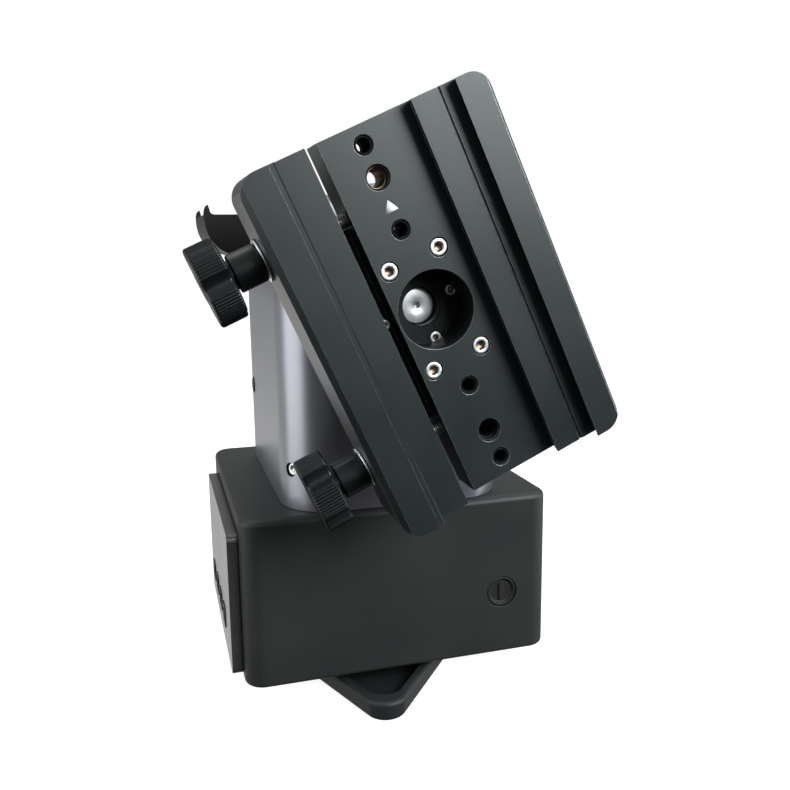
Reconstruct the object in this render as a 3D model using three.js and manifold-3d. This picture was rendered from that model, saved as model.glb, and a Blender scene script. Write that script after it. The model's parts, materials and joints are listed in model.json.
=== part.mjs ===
// A motorised two-axis head. A triangular foot stands on the ground, a box housing turns on it
// about the vertical azimuth axis, and an arched tower on the housing carries the horizontal
// altitude axis. A clamp saddle for a dovetail bar turns on that axis, in front of the tower.
// Units are millimetres, +Z is up, and the saddle faces -Y. The origin is on the azimuth axis,
// on the underside of the foot.
import * as THREE from "three";
import { mergeVertices } from "three/addons/utils/BufferGeometryUtils.js";
import Module from "manifold-3d";

const wasm = await Module();
wasm.setup();

// ---------- driving dimensions ----------
const GAP = 0.3;
const ROUND = 36;
const ARCH_SIDES = 16;

// foot: a triangle with round corners
const FOOT_THICK = 13;
const FOOT_CORNER_REACH = 118.5;
const FOOT_CORNER_R = 14;
const FOOT_POCKET_REACH = 109;
const FOOT_POCKET_R = 13;
const FOOT_POCKET_DEPTH = 7;
const FOOT_HUB_R = 69;
const FOOT_EDGE = 3;
const FOOT_TURN = THREE.MathUtils.degToRad(-98.8);
const BEARING_R = 62;
const BEARING_THICK = 4.6;

// box housing over the foot
const BOX_BOTTOM = 18.7;
const BOX_W = 209;
const BOX_D = 202;
const BOX_H = 111.8;
const BOX_CORNER_R = 13;
const BOX_EDGE_R = 4.5;
const BOX_WALL = 4;
const BOX_FLOOR_THICK = 4;
const BOX_TOP = BOX_BOTTOM + BOX_H;

// connector panel on the left of the housing
const PANEL_THICK = 7;
const PANEL_LENGTH = 158;
const PANEL_MID_Y = -7;
const PANEL_LOW = 23;
const PANEL_HIGH = 118;
const PANEL_CORNER_R = 5;

const PANEL_EDGE = 0.8;

// Sockets along the panel: place along Y, height above the foot, width and height of the opening.
const SOCKETS = [
  { name: "socket_power", y: -40, z: 46, w: 15, h: 15 },
  { name: "socket_hand_unit", y: -12, z: 46, w: 16, h: 14 },
  { name: "socket_guide", y: 16, z: 46, w: 16, h: 14 },
  { name: "socket_serial", y: 44, z: 46, w: 16, h: 14 },
];
const SOCKET_DEPTH = 6;
const SOCKET_WALL = 2;
const SOCKET_MOUTH_DEPTH = 5.2;
const SOCKET_STAND = 0.8;

// round plug in the front of the housing
const PLUG_X = 69.7;
const PLUG_Z = 63;
const PLUG_R = 10.5;
const PLUG_DEPTH = 5;
const PLUG_SETBACK = 0.6;
const PLUG_RIM = 1.6;
const PLUG_DISH_DEPTH = 1.6;
const PLUG_TAB_HALF_W = 1.3;
const PLUG_TAB_HALF_L = 6.5;

// tower: straight sides under a half-round top that is concentric with the altitude axis
const TOWER_HALF_W = 74;
const TOWER_FRONT = -98;
const TOWER_BACK = 66;
const TOWER_EDGE_R = 32;
const TOWER_WALL = 5;
const COVER_THICK = 5;
const ALT_Z = 262;

// cradle on the left flank of the tower
const CRADLE_FRONT = -68;
const CRADLE_LENGTH = 88;
const CRADLE_WALL = 3;
const CRADLE_END_WALL = 4;

// saddle, in its own frame: u across the clamp, h back from the front face, v along the clamp
const SADDLE_FRONT = -186;
const SADDLE_TILT = THREE.MathUtils.degToRad(-24.54);
const SADDLE_LEFT = -71;
const SADDLE_RIGHT = 69;
const SADDLE_HALF_L = 104;
const SADDLE_THICK = 44;
const SADDLE_CORNER_R = 11;
const EDGE_CHAMFER = 1.5;
const WIDE_STEP = 8.3;
const NARROW_STEP = 18.4;
const RIB_LEFT = 28.9;
const RIB_UNDERCUT = 2.7;
const RIB_GROOVE_LEFT = 44;
const RIB_GROOVE_RIGHT = 45.6;
const RIB_GROOVE_DEPTH = 1.2;
const STRIP_LEFT = 51.4;
const STRIP_UNDERCUT = 4;
const FLOOR_LEFT = -22.6;
const HUB_HOLE_R = 21.7;
const BRIDGE_LEFT = -48;
const BRIDGE_HALF_L = 58;
const BRIDGE_FRONT = 34.5;

// screw on the bridge that stops the jaw sideways
const STOP_U = -27.5;
const STOP_V = 3.5;
const STOP_R = 3;
const STOP_FRONT = 27.5;
const STOP_CLEAR = 1;

// moving jaw of the saddle
const JAW_TRAVEL = 16;
const JAW_CHAMFER = 3.2;
const JAW_LIP_LEFT = -52.3;
const JAW_LIP_RIGHT = -48.9;
const JAW_LIP_DROP = 0.6;
const JAW_TIP = -31.05;
const JAW_HEEL = FLOOR_LEFT - JAW_TRAVEL - 1;
const JAW_POCKET_LEFT = BRIDGE_LEFT - JAW_TRAVEL - 1;

// clamp screws with star knobs
const KNOB_H = 28;
const KNOB_V = 63;
const ROD_R = 4;
const ROD_HOLE_R = 4.4;
const ROD_END = -4;
const ROD_HOLE_END = 15;
const WASHER_R = 12;
const WASHER_THICK = 1.4;
const STEM_R = 10.5;
const STEM_LENGTH = 15.5;
const NECK_R = 8;
const NECK_LENGTH = 2;
const HEAD_R = 22.3;
const HEAD_THICK = 15.5;
const HEAD_EDGE = 1.6;
const LOBES = 5;
const FLUTE_DEPTH = 4.6;
const RIDGES = 4;
const RIDGE_DEPTH = 0.55;

// altitude hub between the tower and the saddle
const HUB_FLANGE_R = 46;
const HUB_FLANGE_BACK = 56;
const HUB_NECK_R = 36;
const HUB_BORE_R = 11;
const HUB_BORE_END = 62;
const SHAFT_R = 10.4;
const SHAFT_FACE_H = 52.5;

// screws and holes in the saddle floor
const BOLT_U = 15.2;
const BOLT_V = 29.7;
const BOLT_HEAD_R = 4.8;
const BOLT_HEAD_DEPTH = 5.5;
const BOLT_RECESS_R = 5.4;
const HUB_SCREW_CIRCLE = 20.4;
const HUB_RECESS_R = 4.1;
const HUB_RECESS_DEPTH = 5;
const HUB_SCREW_R = 3.6;
const HUB_SCREW_HEIGHT = 3.9;
const HUB_SCREW_TURN = THREE.MathUtils.degToRad(1.5);
const HEX_DEPTH = 3;
const FLOOR_HOLES = [
  { v: 93.5, r: 4.3 },
  { v: 75.9, r: 5.8 },
  { v: 46.8, r: 4.4 },
];

// ---------- colours ----------
const BLACK_ANODISED = { color: 0x23272a, roughness: 0.42, metalness: 0.6 };
const BLACK_PLASTIC = { color: 0x1b1c1d, roughness: 0.55, metalness: 0 };
const DARK_PAINT = { color: 0x2b2c2d, roughness: 0.62, metalness: 0.1 };
const SILVER_PAINT = { color: 0xb4b6bd, roughness: 0.38, metalness: 0.7 };
const STEEL = { color: 0xc9c9c6, roughness: 0.25, metalness: 1 };
const PANEL_GREY = { color: 0x3a3b3c, roughness: 0.25, metalness: 0.1 };

// ---------- solids ----------
function solidOf(geometry) {
  const plain = geometry.clone();
  plain.deleteAttribute("normal");
  plain.deleteAttribute("uv");
  const merged = mergeVertices(plain, 1e-4);
  return new wasm.Manifold(
    new wasm.Mesh({
      numProp: 3,
      vertProperties: new Float32Array(merged.attributes.position.array),
      triVerts: new Uint32Array(merged.index.array),
    }),
  );
}

function meshOf(name, solid, look) {
  const made = solid.getMesh();
  const geometry = new THREE.BufferGeometry();
  geometry.setAttribute("position", new THREE.BufferAttribute(new Float32Array(made.vertProperties), 3));
  geometry.setIndex(new THREE.BufferAttribute(new Uint32Array(made.triVerts), 1));
  geometry.computeVertexNormals();
  const mesh = new THREE.Mesh(geometry, new THREE.MeshStandardMaterial(look));
  mesh.name = name;
  return mesh;
}

function box(low, high) {
  const size = high.map((value, i) => value - low[i]);
  const geometry = new THREE.BoxGeometry(...size);
  geometry.translate(...low.map((value, i) => value + size[i] / 2));
  return solidOf(geometry);
}

// A cylinder that starts at a point and runs along +X, +Y or +Z.
function rod(axis, start, radius, length, sides = ROUND) {
  const geometry = new THREE.CylinderGeometry(radius, radius, length, sides);
  geometry.translate(0, length / 2, 0);
  if (axis === "x") geometry.rotateZ(-Math.PI / 2);
  if (axis === "z") geometry.rotateX(Math.PI / 2);
  geometry.translate(...start);
  return solidOf(geometry);
}

// A body turned about the Y axis from a profile of [radius, y] points that starts and ends on it.
function turned(points, sides = ROUND) {
  return solidOf(new THREE.LatheGeometry(points.map(([r, y]) => new THREE.Vector2(r, y)), sides));
}

function shapeOf(points) {
  return new THREE.Shape(points.map(([x, y]) => new THREE.Vector2(x, y)));
}

function roundedRect(left, low, right, high, radius) {
  const shape = new THREE.Shape();
  const quarter = Math.PI / 2;
  shape.absarc(right - radius, low + radius, radius, -quarter, 0);
  shape.absarc(right - radius, high - radius, radius, 0, quarter);
  shape.absarc(left + radius, high - radius, radius, quarter, 2 * quarter);
  shape.absarc(left + radius, low + radius, radius, 2 * quarter, 3 * quarter);
  return shape;
}

// A prism of a shape from z = low to z = high, its end edges rounded by edge.
function prism(shape, low, high, edge = 0, edgeSteps = 3, curveSteps = 6) {
  const geometry = new THREE.ExtrudeGeometry(shape, {
    depth: high - low - 2 * edge,
    bevelEnabled: edge > 0,
    bevelThickness: edge,
    bevelSize: edge,
    bevelOffset: -edge,
    bevelSegments: edgeSteps,
    curveSegments: curveSteps,
  });
  geometry.translate(0, 0, low + edge);
  return solidOf(geometry);
}

// Turns a solid made with its length along Z so that its length runs along +Y and its y is up.
function standing(solid) {
  return solid.rotate([90, 0, 0]).mirror([0, 1, 0]);
}

// ---------- foot ----------
// A triangle with round corners, their centres at a reach from the axis.
function footOutline(reach, radius) {
  const shape = new THREE.Shape();
  const third = (2 * Math.PI) / 3;
  for (let i = 0; i < 3; i += 1) {
    const out = FOOT_TURN + i * third;
    const x = reach * Math.cos(out);
    const y = reach * Math.sin(out);
    shape.absarc(x, y, radius, out - third / 2, out + third / 2);
  }
  return shape;
}

function foot() {
  const plate = prism(footOutline(FOOT_CORNER_REACH, FOOT_CORNER_R), 0, FOOT_THICK, FOOT_EDGE);
  const pocketFloor = FOOT_THICK - FOOT_POCKET_DEPTH;
  const pockets = prism(footOutline(FOOT_POCKET_REACH, FOOT_POCKET_R), pocketFloor, FOOT_THICK + 1);
  const hub = rod("z", [0, 0, 0], FOOT_HUB_R, FOOT_THICK + 2);
  return plate.subtract(pockets.subtract(hub));
}

// ---------- box housing ----------
const BOX_FRONT = -BOX_D / 2;

// The housing's plan, drawn inwards by an inset.
function boxOutline(inset) {
  const halfW = BOX_W / 2 - inset;
  const halfD = BOX_D / 2 - inset;
  return roundedRect(-halfW, -halfD, halfW, halfD, BOX_CORNER_R - inset);
}

function housing() {
  const outer = prism(boxOutline(0), BOX_BOTTOM, BOX_TOP, BOX_EDGE_R);
  const hollow = prism(boxOutline(BOX_WALL), BOX_BOTTOM - 1, BOX_TOP - BOX_WALL);
  const plugSeat = rod("y", [PLUG_X, BOX_FRONT - 1, PLUG_Z], PLUG_R + GAP, BOX_WALL + 2);
  return outer.subtract(hollow).subtract(plugSeat);
}

function housingFloor() {
  return prism(boxOutline(BOX_WALL + GAP), BOX_BOTTOM, BOX_BOTTOM + BOX_FLOOR_THICK);
}

// A rubber plug: a dished face with a finger tab across it.
function plug() {
  const front = BOX_FRONT + PLUG_SETBACK;
  const body = rod("y", [PLUG_X, front, PLUG_Z], PLUG_R, PLUG_DEPTH);
  const dish = rod("y", [PLUG_X, front - 1, PLUG_Z], PLUG_R - PLUG_RIM, PLUG_DISH_DEPTH + 1);
  const tab = box(
    [PLUG_X - PLUG_TAB_HALF_W, front + GAP, PLUG_Z - PLUG_TAB_HALF_L],
    [PLUG_X + PLUG_TAB_HALF_W, front + PLUG_DISH_DEPTH + 1, PLUG_Z + PLUG_TAB_HALF_L],
  );
  return body.subtract(dish).add(tab);
}

function panelX() {
  return -BOX_W / 2 - GAP;
}

// The panel stands off the left wall. Its length runs along Y, and its sockets open to -X.
function panel() {
  const half = PANEL_LENGTH / 2;
  const outline = roundedRect(PANEL_MID_Y - half, PANEL_LOW, PANEL_MID_Y + half, PANEL_HIGH, PANEL_CORNER_R);
  const flat = prism(outline, 0, PANEL_THICK, PANEL_EDGE, 2, 4);
  const plate = flat.rotate([90, 0, 90]).translate([panelX() - PANEL_THICK, 0, 0]);
  return SOCKETS.reduce((left, socket) => left.subtract(socketSeat(socket)), plate);
}

function socketSeat({ y, z, w, h }) {
  const outer = panelX() - PANEL_THICK;
  return box([outer - 1, y - w / 2, z - h / 2], [outer + SOCKET_DEPTH + GAP, y + w / 2, z + h / 2]);
}

// A socket body fills its seat and has a mouth of its own, open to -X.
function socketBody({ y, z, w, h }) {
  const outer = panelX() - PANEL_THICK - SOCKET_STAND;
  const halfW = w / 2 - GAP;
  const halfH = h / 2 - GAP;
  const body = box([outer, y - halfW, z - halfH], [outer + SOCKET_DEPTH, y + halfW, z + halfH]);
  const mouth = box(
    [outer - 1, y - halfW + SOCKET_WALL, z - halfH + SOCKET_WALL],
    [outer + SOCKET_MOUTH_DEPTH, y + halfW - SOCKET_WALL, z + halfH - SOCKET_WALL],
  );
  return body.subtract(mouth);
}

// ---------- tower ----------
function archOutline(inset, foot) {
  const half = TOWER_HALF_W - inset;
  const shape = new THREE.Shape();
  shape.moveTo(-half, foot);
  shape.lineTo(half, foot);
  shape.absarc(0, ALT_Z, half, 0, Math.PI);
  return shape;
}

// The arch, its front edge rounded, from the front to the back plane.
function archBlock(inset, front, back, foot) {
  const edge = TOWER_EDGE_R - inset;
  const sides = prism(archOutline(inset, foot - 2 * TOWER_EDGE_R), front, back + edge, edge, 5, ARCH_SIDES);
  const long = standing(sides);
  const keep = box([-2 * TOWER_HALF_W, front - 1, foot], [2 * TOWER_HALF_W, back, ALT_Z + 2 * TOWER_HALF_W]);
  return long.intersect(keep);
}

function tower() {
  const low = BOX_TOP + GAP;
  const outer = archBlock(0, TOWER_FRONT, TOWER_BACK, low);
  const inner = archBlock(TOWER_WALL, TOWER_FRONT + TOWER_WALL, TOWER_BACK + 1, low + TOWER_WALL);
  const shaftHole = rod("y", [0, TOWER_FRONT - 1, ALT_Z], SHAFT_R + 1, TOWER_WALL + 3);
  return outer.subtract(inner).subtract(shaftHole).subtract(towerScrewSeat()).subtract(flankSeat());
}

// A countersunk screw low on the rounded left front edge of the tower.
const TOWER_SCREW_Z = 156.5;
const TOWER_SCREW_R = 4.6;
const TOWER_SCREW_DEPTH = 3.2;
const TOWER_SCREW_TURN = 32;

function onTowerEdge(solid) {
  const centreX = TOWER_EDGE_R - TOWER_HALF_W;
  const centreY = TOWER_FRONT + TOWER_EDGE_R;
  return solid.rotate([0, 0, TOWER_SCREW_TURN]).translate([centreX, centreY, TOWER_SCREW_Z]);
}

function towerScrewSeat() {
  return onTowerEdge(rod("x", [-TOWER_EDGE_R - 2, 0, 0], TOWER_SCREW_R, TOWER_SCREW_DEPTH + 2, 24));
}

function towerScrew() {
  const start = -TOWER_EDGE_R + TOWER_SCREW_DEPTH - 1.4;
  const head = rod("x", [start, 0, 0], TOWER_SCREW_R - GAP, 1.1, 24);
  const hex = rod("x", [start - 1, 0, 0], 1.6, 1.7, 6);
  return onTowerEdge(head.subtract(hex));
}

// A round plug near the back of the left flank.
const FLANK_PLUG = { y: 57, z: 190, r: 6.2, depth: 2 };

function flankSeat() {
  const start = [-TOWER_HALF_W - 1, FLANK_PLUG.y, FLANK_PLUG.z];
  return rod("x", start, FLANK_PLUG.r + GAP, FLANK_PLUG.depth + 1, 24);
}

function flankPlug() {
  const stand = 0.8;
  const start = [-TOWER_HALF_W - stand, FLANK_PLUG.y, FLANK_PLUG.z];
  return rod("x", start, FLANK_PLUG.r, FLANK_PLUG.depth + stand - GAP, 24);
}

// The cover closes the open back of the tower inside its wall.
function towerCover() {
  const inset = TOWER_WALL + GAP;
  const low = BOX_TOP + TOWER_WALL + 2 * GAP;
  return standing(prism(archOutline(inset, low), TOWER_BACK - COVER_THICK, TOWER_BACK, 0, 1, ARCH_SIDES));
}

// ---------- cradle ----------
// The cradle's section, as x and height over the altitude axis. A flank lies against the tower,
// and the outer wall curves down and in to the bottom. Both ends of that wall carry a claw.
const CRADLE_FLANK = -58;
const CRADLE_TOP = 54.2;
const CRADLE_LOW = 28;
const CRADLE_OUT = -113.9;
const CRADLE_SHOULDER = 53;
const CRADLE_BEND = { bendX: -113.6, bendZ: 38.5, endX: -103.1, endZ: 32.1 };
const CRADLE_KEEL = { bendX: -99, bendZ: 30, endX: -92 };
const CRADLE_CLAW = { tipX: -111.3, tipZ: 60.1, bendX: -114.2, bendZ: 59, innerX: -110.4, rootX: -107 };

// From the shoulder of the outer wall down and in to the bottom.
function cradleWall(shape, inset) {
  const { bendX, bendZ, endX, endZ } = CRADLE_BEND;
  const keel = CRADLE_KEEL;
  shape.quadraticCurveTo(bendX + inset, bendZ + inset, endX + inset, endZ + inset);
  shape.quadraticCurveTo(keel.bendX, keel.bendZ + inset, keel.endX, CRADLE_LOW + inset);
  return shape;
}

function cradleSection() {
  const { tipX, tipZ, bendX, bendZ, innerX, rootX } = CRADLE_CLAW;
  const shape = new THREE.Shape();
  shape.moveTo(CRADLE_FLANK, CRADLE_LOW);
  shape.lineTo(CRADLE_FLANK, CRADLE_TOP);
  shape.lineTo(rootX, CRADLE_TOP);
  shape.quadraticCurveTo(innerX, CRADLE_TOP, innerX, (CRADLE_TOP + tipZ) / 2);
  shape.lineTo(tipX, tipZ);
  shape.quadraticCurveTo(bendX, bendZ, CRADLE_OUT, CRADLE_SHOULDER);
  return cradleWall(shape, 0);
}

function cradleHollow() {
  const top = CRADLE_CLAW.tipZ + 1;
  const shape = new THREE.Shape();
  shape.moveTo(CRADLE_FLANK, CRADLE_LOW + CRADLE_WALL);
  shape.lineTo(CRADLE_FLANK, top);
  shape.lineTo(CRADLE_OUT + CRADLE_WALL, top);
  shape.lineTo(CRADLE_OUT + CRADLE_WALL, CRADLE_SHOULDER);
  return cradleWall(shape, CRADLE_WALL);
}

// Everything inside the tower's outer face, out to the gap that the cradle keeps.
function towerKeepOut() {
  const long = TOWER_BACK - TOWER_FRONT + 2;
  const arch = prism(archOutline(-GAP, BOX_TOP), 0, long, 0, 1, 32);
  return standing(arch).translate([0, TOWER_FRONT - 1, 0]);
}

// A body of a cradle section between two places along the tower.
function cradleRun(shape, from, to) {
  return standing(prism(shape, from, to, 0, 1, 10)).translate([0, 0, ALT_Z]);
}

function cradle() {
  const back = CRADLE_FRONT + CRADLE_LENGTH;
  const from = CRADLE_FRONT + CRADLE_END_WALL;
  const to = back - CRADLE_END_WALL;
  const hollow = cradleRun(cradleHollow(), from, to);
  const betweenClaws = box(
    [CRADLE_OUT - CRADLE_WALL, from, ALT_Z + CRADLE_TOP],
    [CRADLE_FLANK + 1, to, ALT_Z + CRADLE_CLAW.tipZ + 2],
  );
  const flank = box(
    [-TOWER_HALF_W - CRADLE_WALL, CRADLE_FRONT, ALT_Z + CRADLE_LOW],
    [CRADLE_FLANK, back, ALT_Z + CRADLE_TOP],
  );
  const wall = cradleRun(cradleSection(), CRADLE_FRONT, back).subtract(hollow.add(betweenClaws));
  return wall.add(flank).subtract(towerKeepOut());
}

// ---------- saddle ----------
function saddleOutline() {
  const outline = roundedRect(SADDLE_LEFT, -SADDLE_HALF_L, SADDLE_RIGHT, SADDLE_HALF_L, SADDLE_CORNER_R);
  return standing(prism(outline, -1, SADDLE_THICK + 1));
}

function plateProfile() {
  return shapeOf([
    [FLOOR_LEFT, NARROW_STEP],
    [RIB_LEFT + RIB_UNDERCUT, NARROW_STEP],
    [RIB_LEFT, WIDE_STEP],
    [RIB_GROOVE_LEFT, WIDE_STEP],
    [RIB_GROOVE_LEFT, WIDE_STEP + RIB_GROOVE_DEPTH],
    [RIB_GROOVE_RIGHT, WIDE_STEP + RIB_GROOVE_DEPTH],
    [RIB_GROOVE_RIGHT, WIDE_STEP],
    [STRIP_LEFT + STRIP_UNDERCUT, WIDE_STEP],
    [STRIP_LEFT, 0],
    [SADDLE_RIGHT - EDGE_CHAMFER, 0],
    [SADDLE_RIGHT, EDGE_CHAMFER],
    [SADDLE_RIGHT, SADDLE_THICK],
    [FLOOR_LEFT, SADDLE_THICK],
  ]);
}

// Each hole in the floor line goes right through, and each screw has a round recess.
function plateHoles() {
  const cuts = [rod("y", [0, -1, 0], HUB_HOLE_R, SADDLE_THICK + 2)];
  for (const side of [-1, 1]) {
    for (const { v, r } of FLOOR_HOLES) cuts.push(rod("y", [0, -1, side * v], r, SADDLE_THICK + 2, 20));
    for (const across of [-1, 1]) {
      const start = [across * BOLT_U, -1, side * BOLT_V];
      cuts.push(rod("y", start, BOLT_RECESS_R, NARROW_STEP + BOLT_HEAD_DEPTH + 1 + GAP, 20));
    }
    cuts.push(rod("x", [BRIDGE_LEFT, KNOB_H, side * KNOB_V], ROD_HOLE_R, ROD_HOLE_END - BRIDGE_LEFT, 20));
  }
  return cuts;
}

function saddlePlate() {
  const block = prism(plateProfile(), -SADDLE_HALF_L, SADDLE_HALF_L);
  const bridge = box(
    [BRIDGE_LEFT, BRIDGE_FRONT, -BRIDGE_HALF_L],
    [FLOOR_LEFT + 1, SADDLE_THICK, BRIDGE_HALF_L],
  );
  const plate = block.add(bridge).intersect(saddleOutline());
  return plateHoles().reduce((left, cut) => left.subtract(cut), plate);
}

function jawProfile() {
  return shapeOf([
    [SADDLE_LEFT + JAW_CHAMFER, 0],
    [JAW_LIP_LEFT, 0],
    [JAW_LIP_LEFT, JAW_LIP_DROP],
    [JAW_LIP_RIGHT, JAW_LIP_DROP],
    [JAW_LIP_RIGHT - STRIP_UNDERCUT, WIDE_STEP],
    [JAW_TIP, WIDE_STEP],
    [JAW_TIP - RIB_UNDERCUT, NARROW_STEP - GAP],
    [JAW_HEEL, NARROW_STEP - GAP],
    [JAW_HEEL, SADDLE_THICK],
    [SADDLE_LEFT, SADDLE_THICK],
    [SADDLE_LEFT, JAW_CHAMFER],
  ]);
}

function saddleJaw() {
  const block = prism(jawProfile(), -SADDLE_HALF_L, SADDLE_HALF_L).intersect(saddleOutline());
  const pocket = box(
    [JAW_POCKET_LEFT, BRIDGE_FRONT - GAP, -BRIDGE_HALF_L - GAP],
    [JAW_HEEL + 1, SADDLE_THICK + 1, BRIDGE_HALF_L + GAP],
  );
  const rodHoles = [-1, 1].map((side) =>
    rod("x", [SADDLE_LEFT - 1, KNOB_H, side * KNOB_V], ROD_HOLE_R, JAW_HEEL - SADDLE_LEFT + 2, 20),
  );
  const slotHalf = STOP_R + STOP_CLEAR;
  const stopSlot = box(
    [STOP_U - JAW_TRAVEL - slotHalf, STOP_FRONT - STOP_CLEAR, STOP_V - slotHalf],
    [JAW_HEEL + 1, BRIDGE_FRONT, STOP_V + slotHalf],
  );
  return [pocket, stopSlot, ...rodHoles].reduce((left, cut) => left.subtract(cut), block);
}

// ---------- star knob ----------
// The knob's edge: ridged lobes with smooth flutes between them.
function knobRadius(turn) {
  const pitch = (2 * Math.PI) / LOBES;
  const phase = ((turn / pitch) % 1) - 0.5;
  const lobeHalf = 0.29;
  const away = Math.abs(phase);
  if (away < lobeHalf) {
    const ridge = 0.5 - 0.5 * Math.cos(((phase + lobeHalf) / (2 * lobeHalf)) * RIDGES * 2 * Math.PI);
    return HEAD_R - HEAD_EDGE - RIDGE_DEPTH * ridge;
  }
  const flute = (away - lobeHalf) / (0.5 - lobeHalf);
  return HEAD_R - HEAD_EDGE - FLUTE_DEPTH * Math.sin((flute * Math.PI) / 2) ** 0.6;
}

function knobOutline() {
  const steps = LOBES * 22;
  const points = [];
  for (let i = 0; i < steps; i += 1) {
    const turn = (i / steps) * 2 * Math.PI;
    const radius = knobRadius(turn);
    points.push([radius * Math.cos(turn), radius * Math.sin(turn)]);
  }
  return shapeOf(points);
}

// A knob on its screw, on the jaw's outer face, along the local X axis.
function knob(v) {
  const stemStart = SADDLE_LEFT - WASHER_THICK - 2 * GAP - STEM_LENGTH;
  const headInner = stemStart - NECK_LENGTH;
  const head = new THREE.ExtrudeGeometry(knobOutline(), {
    depth: HEAD_THICK - 2 * HEAD_EDGE,
    bevelThickness: HEAD_EDGE,
    bevelSize: HEAD_EDGE,
    bevelSegments: 1,
  });
  head.translate(0, 0, HEAD_EDGE);
  head.rotateY(Math.PI / 2);
  head.translate(headInner - HEAD_THICK, 0, 0);
  const neck = rod("x", [headInner - 1, 0, 0], NECK_R, NECK_LENGTH + 2, 20);
  const stem = rod("x", [stemStart, 0, 0], STEM_R, STEM_LENGTH, 28);
  const screw = rod("x", [stemStart + 1, 0, 0], ROD_R, ROD_END - stemStart - 1, 16);
  return solidOf(head).add(neck).add(stem).add(screw).translate([0, KNOB_H, v]);
}

function washer(v) {
  const start = [SADDLE_LEFT - WASHER_THICK - GAP, KNOB_H, v];
  const disc = rod("x", start, WASHER_R, WASHER_THICK, 28);
  return disc.subtract(rod("x", [start[0] - 1, KNOB_H, v], ROD_HOLE_R, WASHER_THICK + 2, 20));
}

// ---------- hub, shaft and screws ----------
const HUB_FRONT = SADDLE_THICK + GAP;

function hubScrewPlaces() {
  return [0, 1, 2, 3].map((i) => {
    const turn = (i * Math.PI) / 2 + HUB_SCREW_TURN;
    return [HUB_SCREW_CIRCLE * Math.cos(turn), HUB_SCREW_CIRCLE * Math.sin(turn)];
  });
}

function hub() {
  const back = TOWER_FRONT - SADDLE_FRONT - 2 * GAP;
  const body = turned([
    [0, HUB_FRONT],
    [HUB_FLANGE_R, HUB_FRONT],
    [HUB_FLANGE_R, HUB_FLANGE_BACK],
    [HUB_NECK_R, HUB_FLANGE_BACK],
    [HUB_NECK_R, back],
    [0, back],
  ]);
  const bore = rod("y", [0, HUB_FRONT - 1, 0], HUB_BORE_R, HUB_BORE_END - HUB_FRONT + 1);
  const recesses = hubScrewPlaces().map(([u, v]) =>
    rod("y", [u, HUB_FRONT - 1, v], HUB_RECESS_R, HUB_RECESS_DEPTH + 1, 20),
  );
  return [bore, ...recesses].reduce((left, cut) => left.subtract(cut), body);
}

function hubShaft() {
  return turned([
    [0, SHAFT_FACE_H],
    [SHAFT_R - 0.8, SHAFT_FACE_H],
    [SHAFT_R, SHAFT_FACE_H + 0.8],
    [SHAFT_R, HUB_BORE_END - GAP],
    [0, HUB_BORE_END - GAP],
  ]);
}

// A cap screw head, its hex socket open to the front.
function screwHead(u, v, front, radius, height, hexRadius) {
  const head = rod("y", [u, front, v], radius, height, 20);
  return head.subtract(rod("y", [u, front - 1, v], hexRadius, HEX_DEPTH + 1, 6));
}

// ---------- assembly ----------
const head = new THREE.Group();
head.add(
  meshOf("foot", foot(), DARK_PAINT),
  meshOf("azimuth_bearing", rod("z", [0, 0, FOOT_THICK + GAP], BEARING_R, BEARING_THICK), BLACK_ANODISED),
  meshOf("housing", housing(), DARK_PAINT),
  meshOf("housing_floor", housingFloor(), BLACK_ANODISED),
  meshOf("front_plug", plug(), BLACK_PLASTIC),
  meshOf("connector_panel", panel(), PANEL_GREY),
  meshOf("tower", tower(), SILVER_PAINT),
  meshOf("tower_cover", towerCover(), BLACK_PLASTIC),
  meshOf("tower_screw", towerScrew(), STEEL),
  meshOf("flank_plug", flankPlug(), BLACK_PLASTIC),
  meshOf("cradle", cradle(), BLACK_PLASTIC),
);
for (const socket of SOCKETS) {
  head.add(meshOf(socket.name, socketBody(socket), BLACK_PLASTIC));
}

const saddle = new THREE.Group();
saddle.position.set(0, SADDLE_FRONT, ALT_Z);
saddle.rotation.y = SADDLE_TILT;
saddle.add(
  meshOf("saddle_plate", saddlePlate(), BLACK_ANODISED),
  meshOf("saddle_jaw", saddleJaw(), BLACK_ANODISED),
  meshOf("altitude_hub", hub(), BLACK_ANODISED),
  meshOf("altitude_shaft", hubShaft(), STEEL),
);
for (const [place, side] of [["upper", 1], ["lower", -1]]) {
  saddle.add(
    meshOf("clamp_knob_" + place, knob(side * KNOB_V), BLACK_PLASTIC),
    meshOf("clamp_washer_" + place, washer(side * KNOB_V), STEEL),
  );
  for (const [hand, across] of [["left", -1], ["right", 1]]) {
    const front = NARROW_STEP + 0.2;
    const solid = screwHead(across * BOLT_U, side * BOLT_V, front, BOLT_HEAD_R, BOLT_HEAD_DEPTH - GAP, 2.7);
    saddle.add(meshOf("saddle_screw_" + place + "_" + hand, solid, STEEL));
  }
}
hubScrewPlaces().forEach(([u, v], i) => {
  const front = HUB_FRONT + HUB_RECESS_DEPTH - HUB_SCREW_HEIGHT - GAP;
  saddle.add(meshOf("hub_screw_" + (i + 1), screwHead(u, v, front, HUB_SCREW_R, HUB_SCREW_HEIGHT, 1.7), STEEL));
});
const stopHeight = BRIDGE_FRONT - STOP_FRONT - GAP;
saddle.add(meshOf("jaw_stop_screw", screwHead(STOP_U, STOP_V, STOP_FRONT, STOP_R, stopHeight, 1.5), STEEL));
head.add(saddle);

export default head;
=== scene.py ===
"""Looks for a motorised two-axis telescope head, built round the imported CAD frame."""

import json
import math

import bmesh
import bpy
from mathutils import Matrix, Vector

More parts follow.
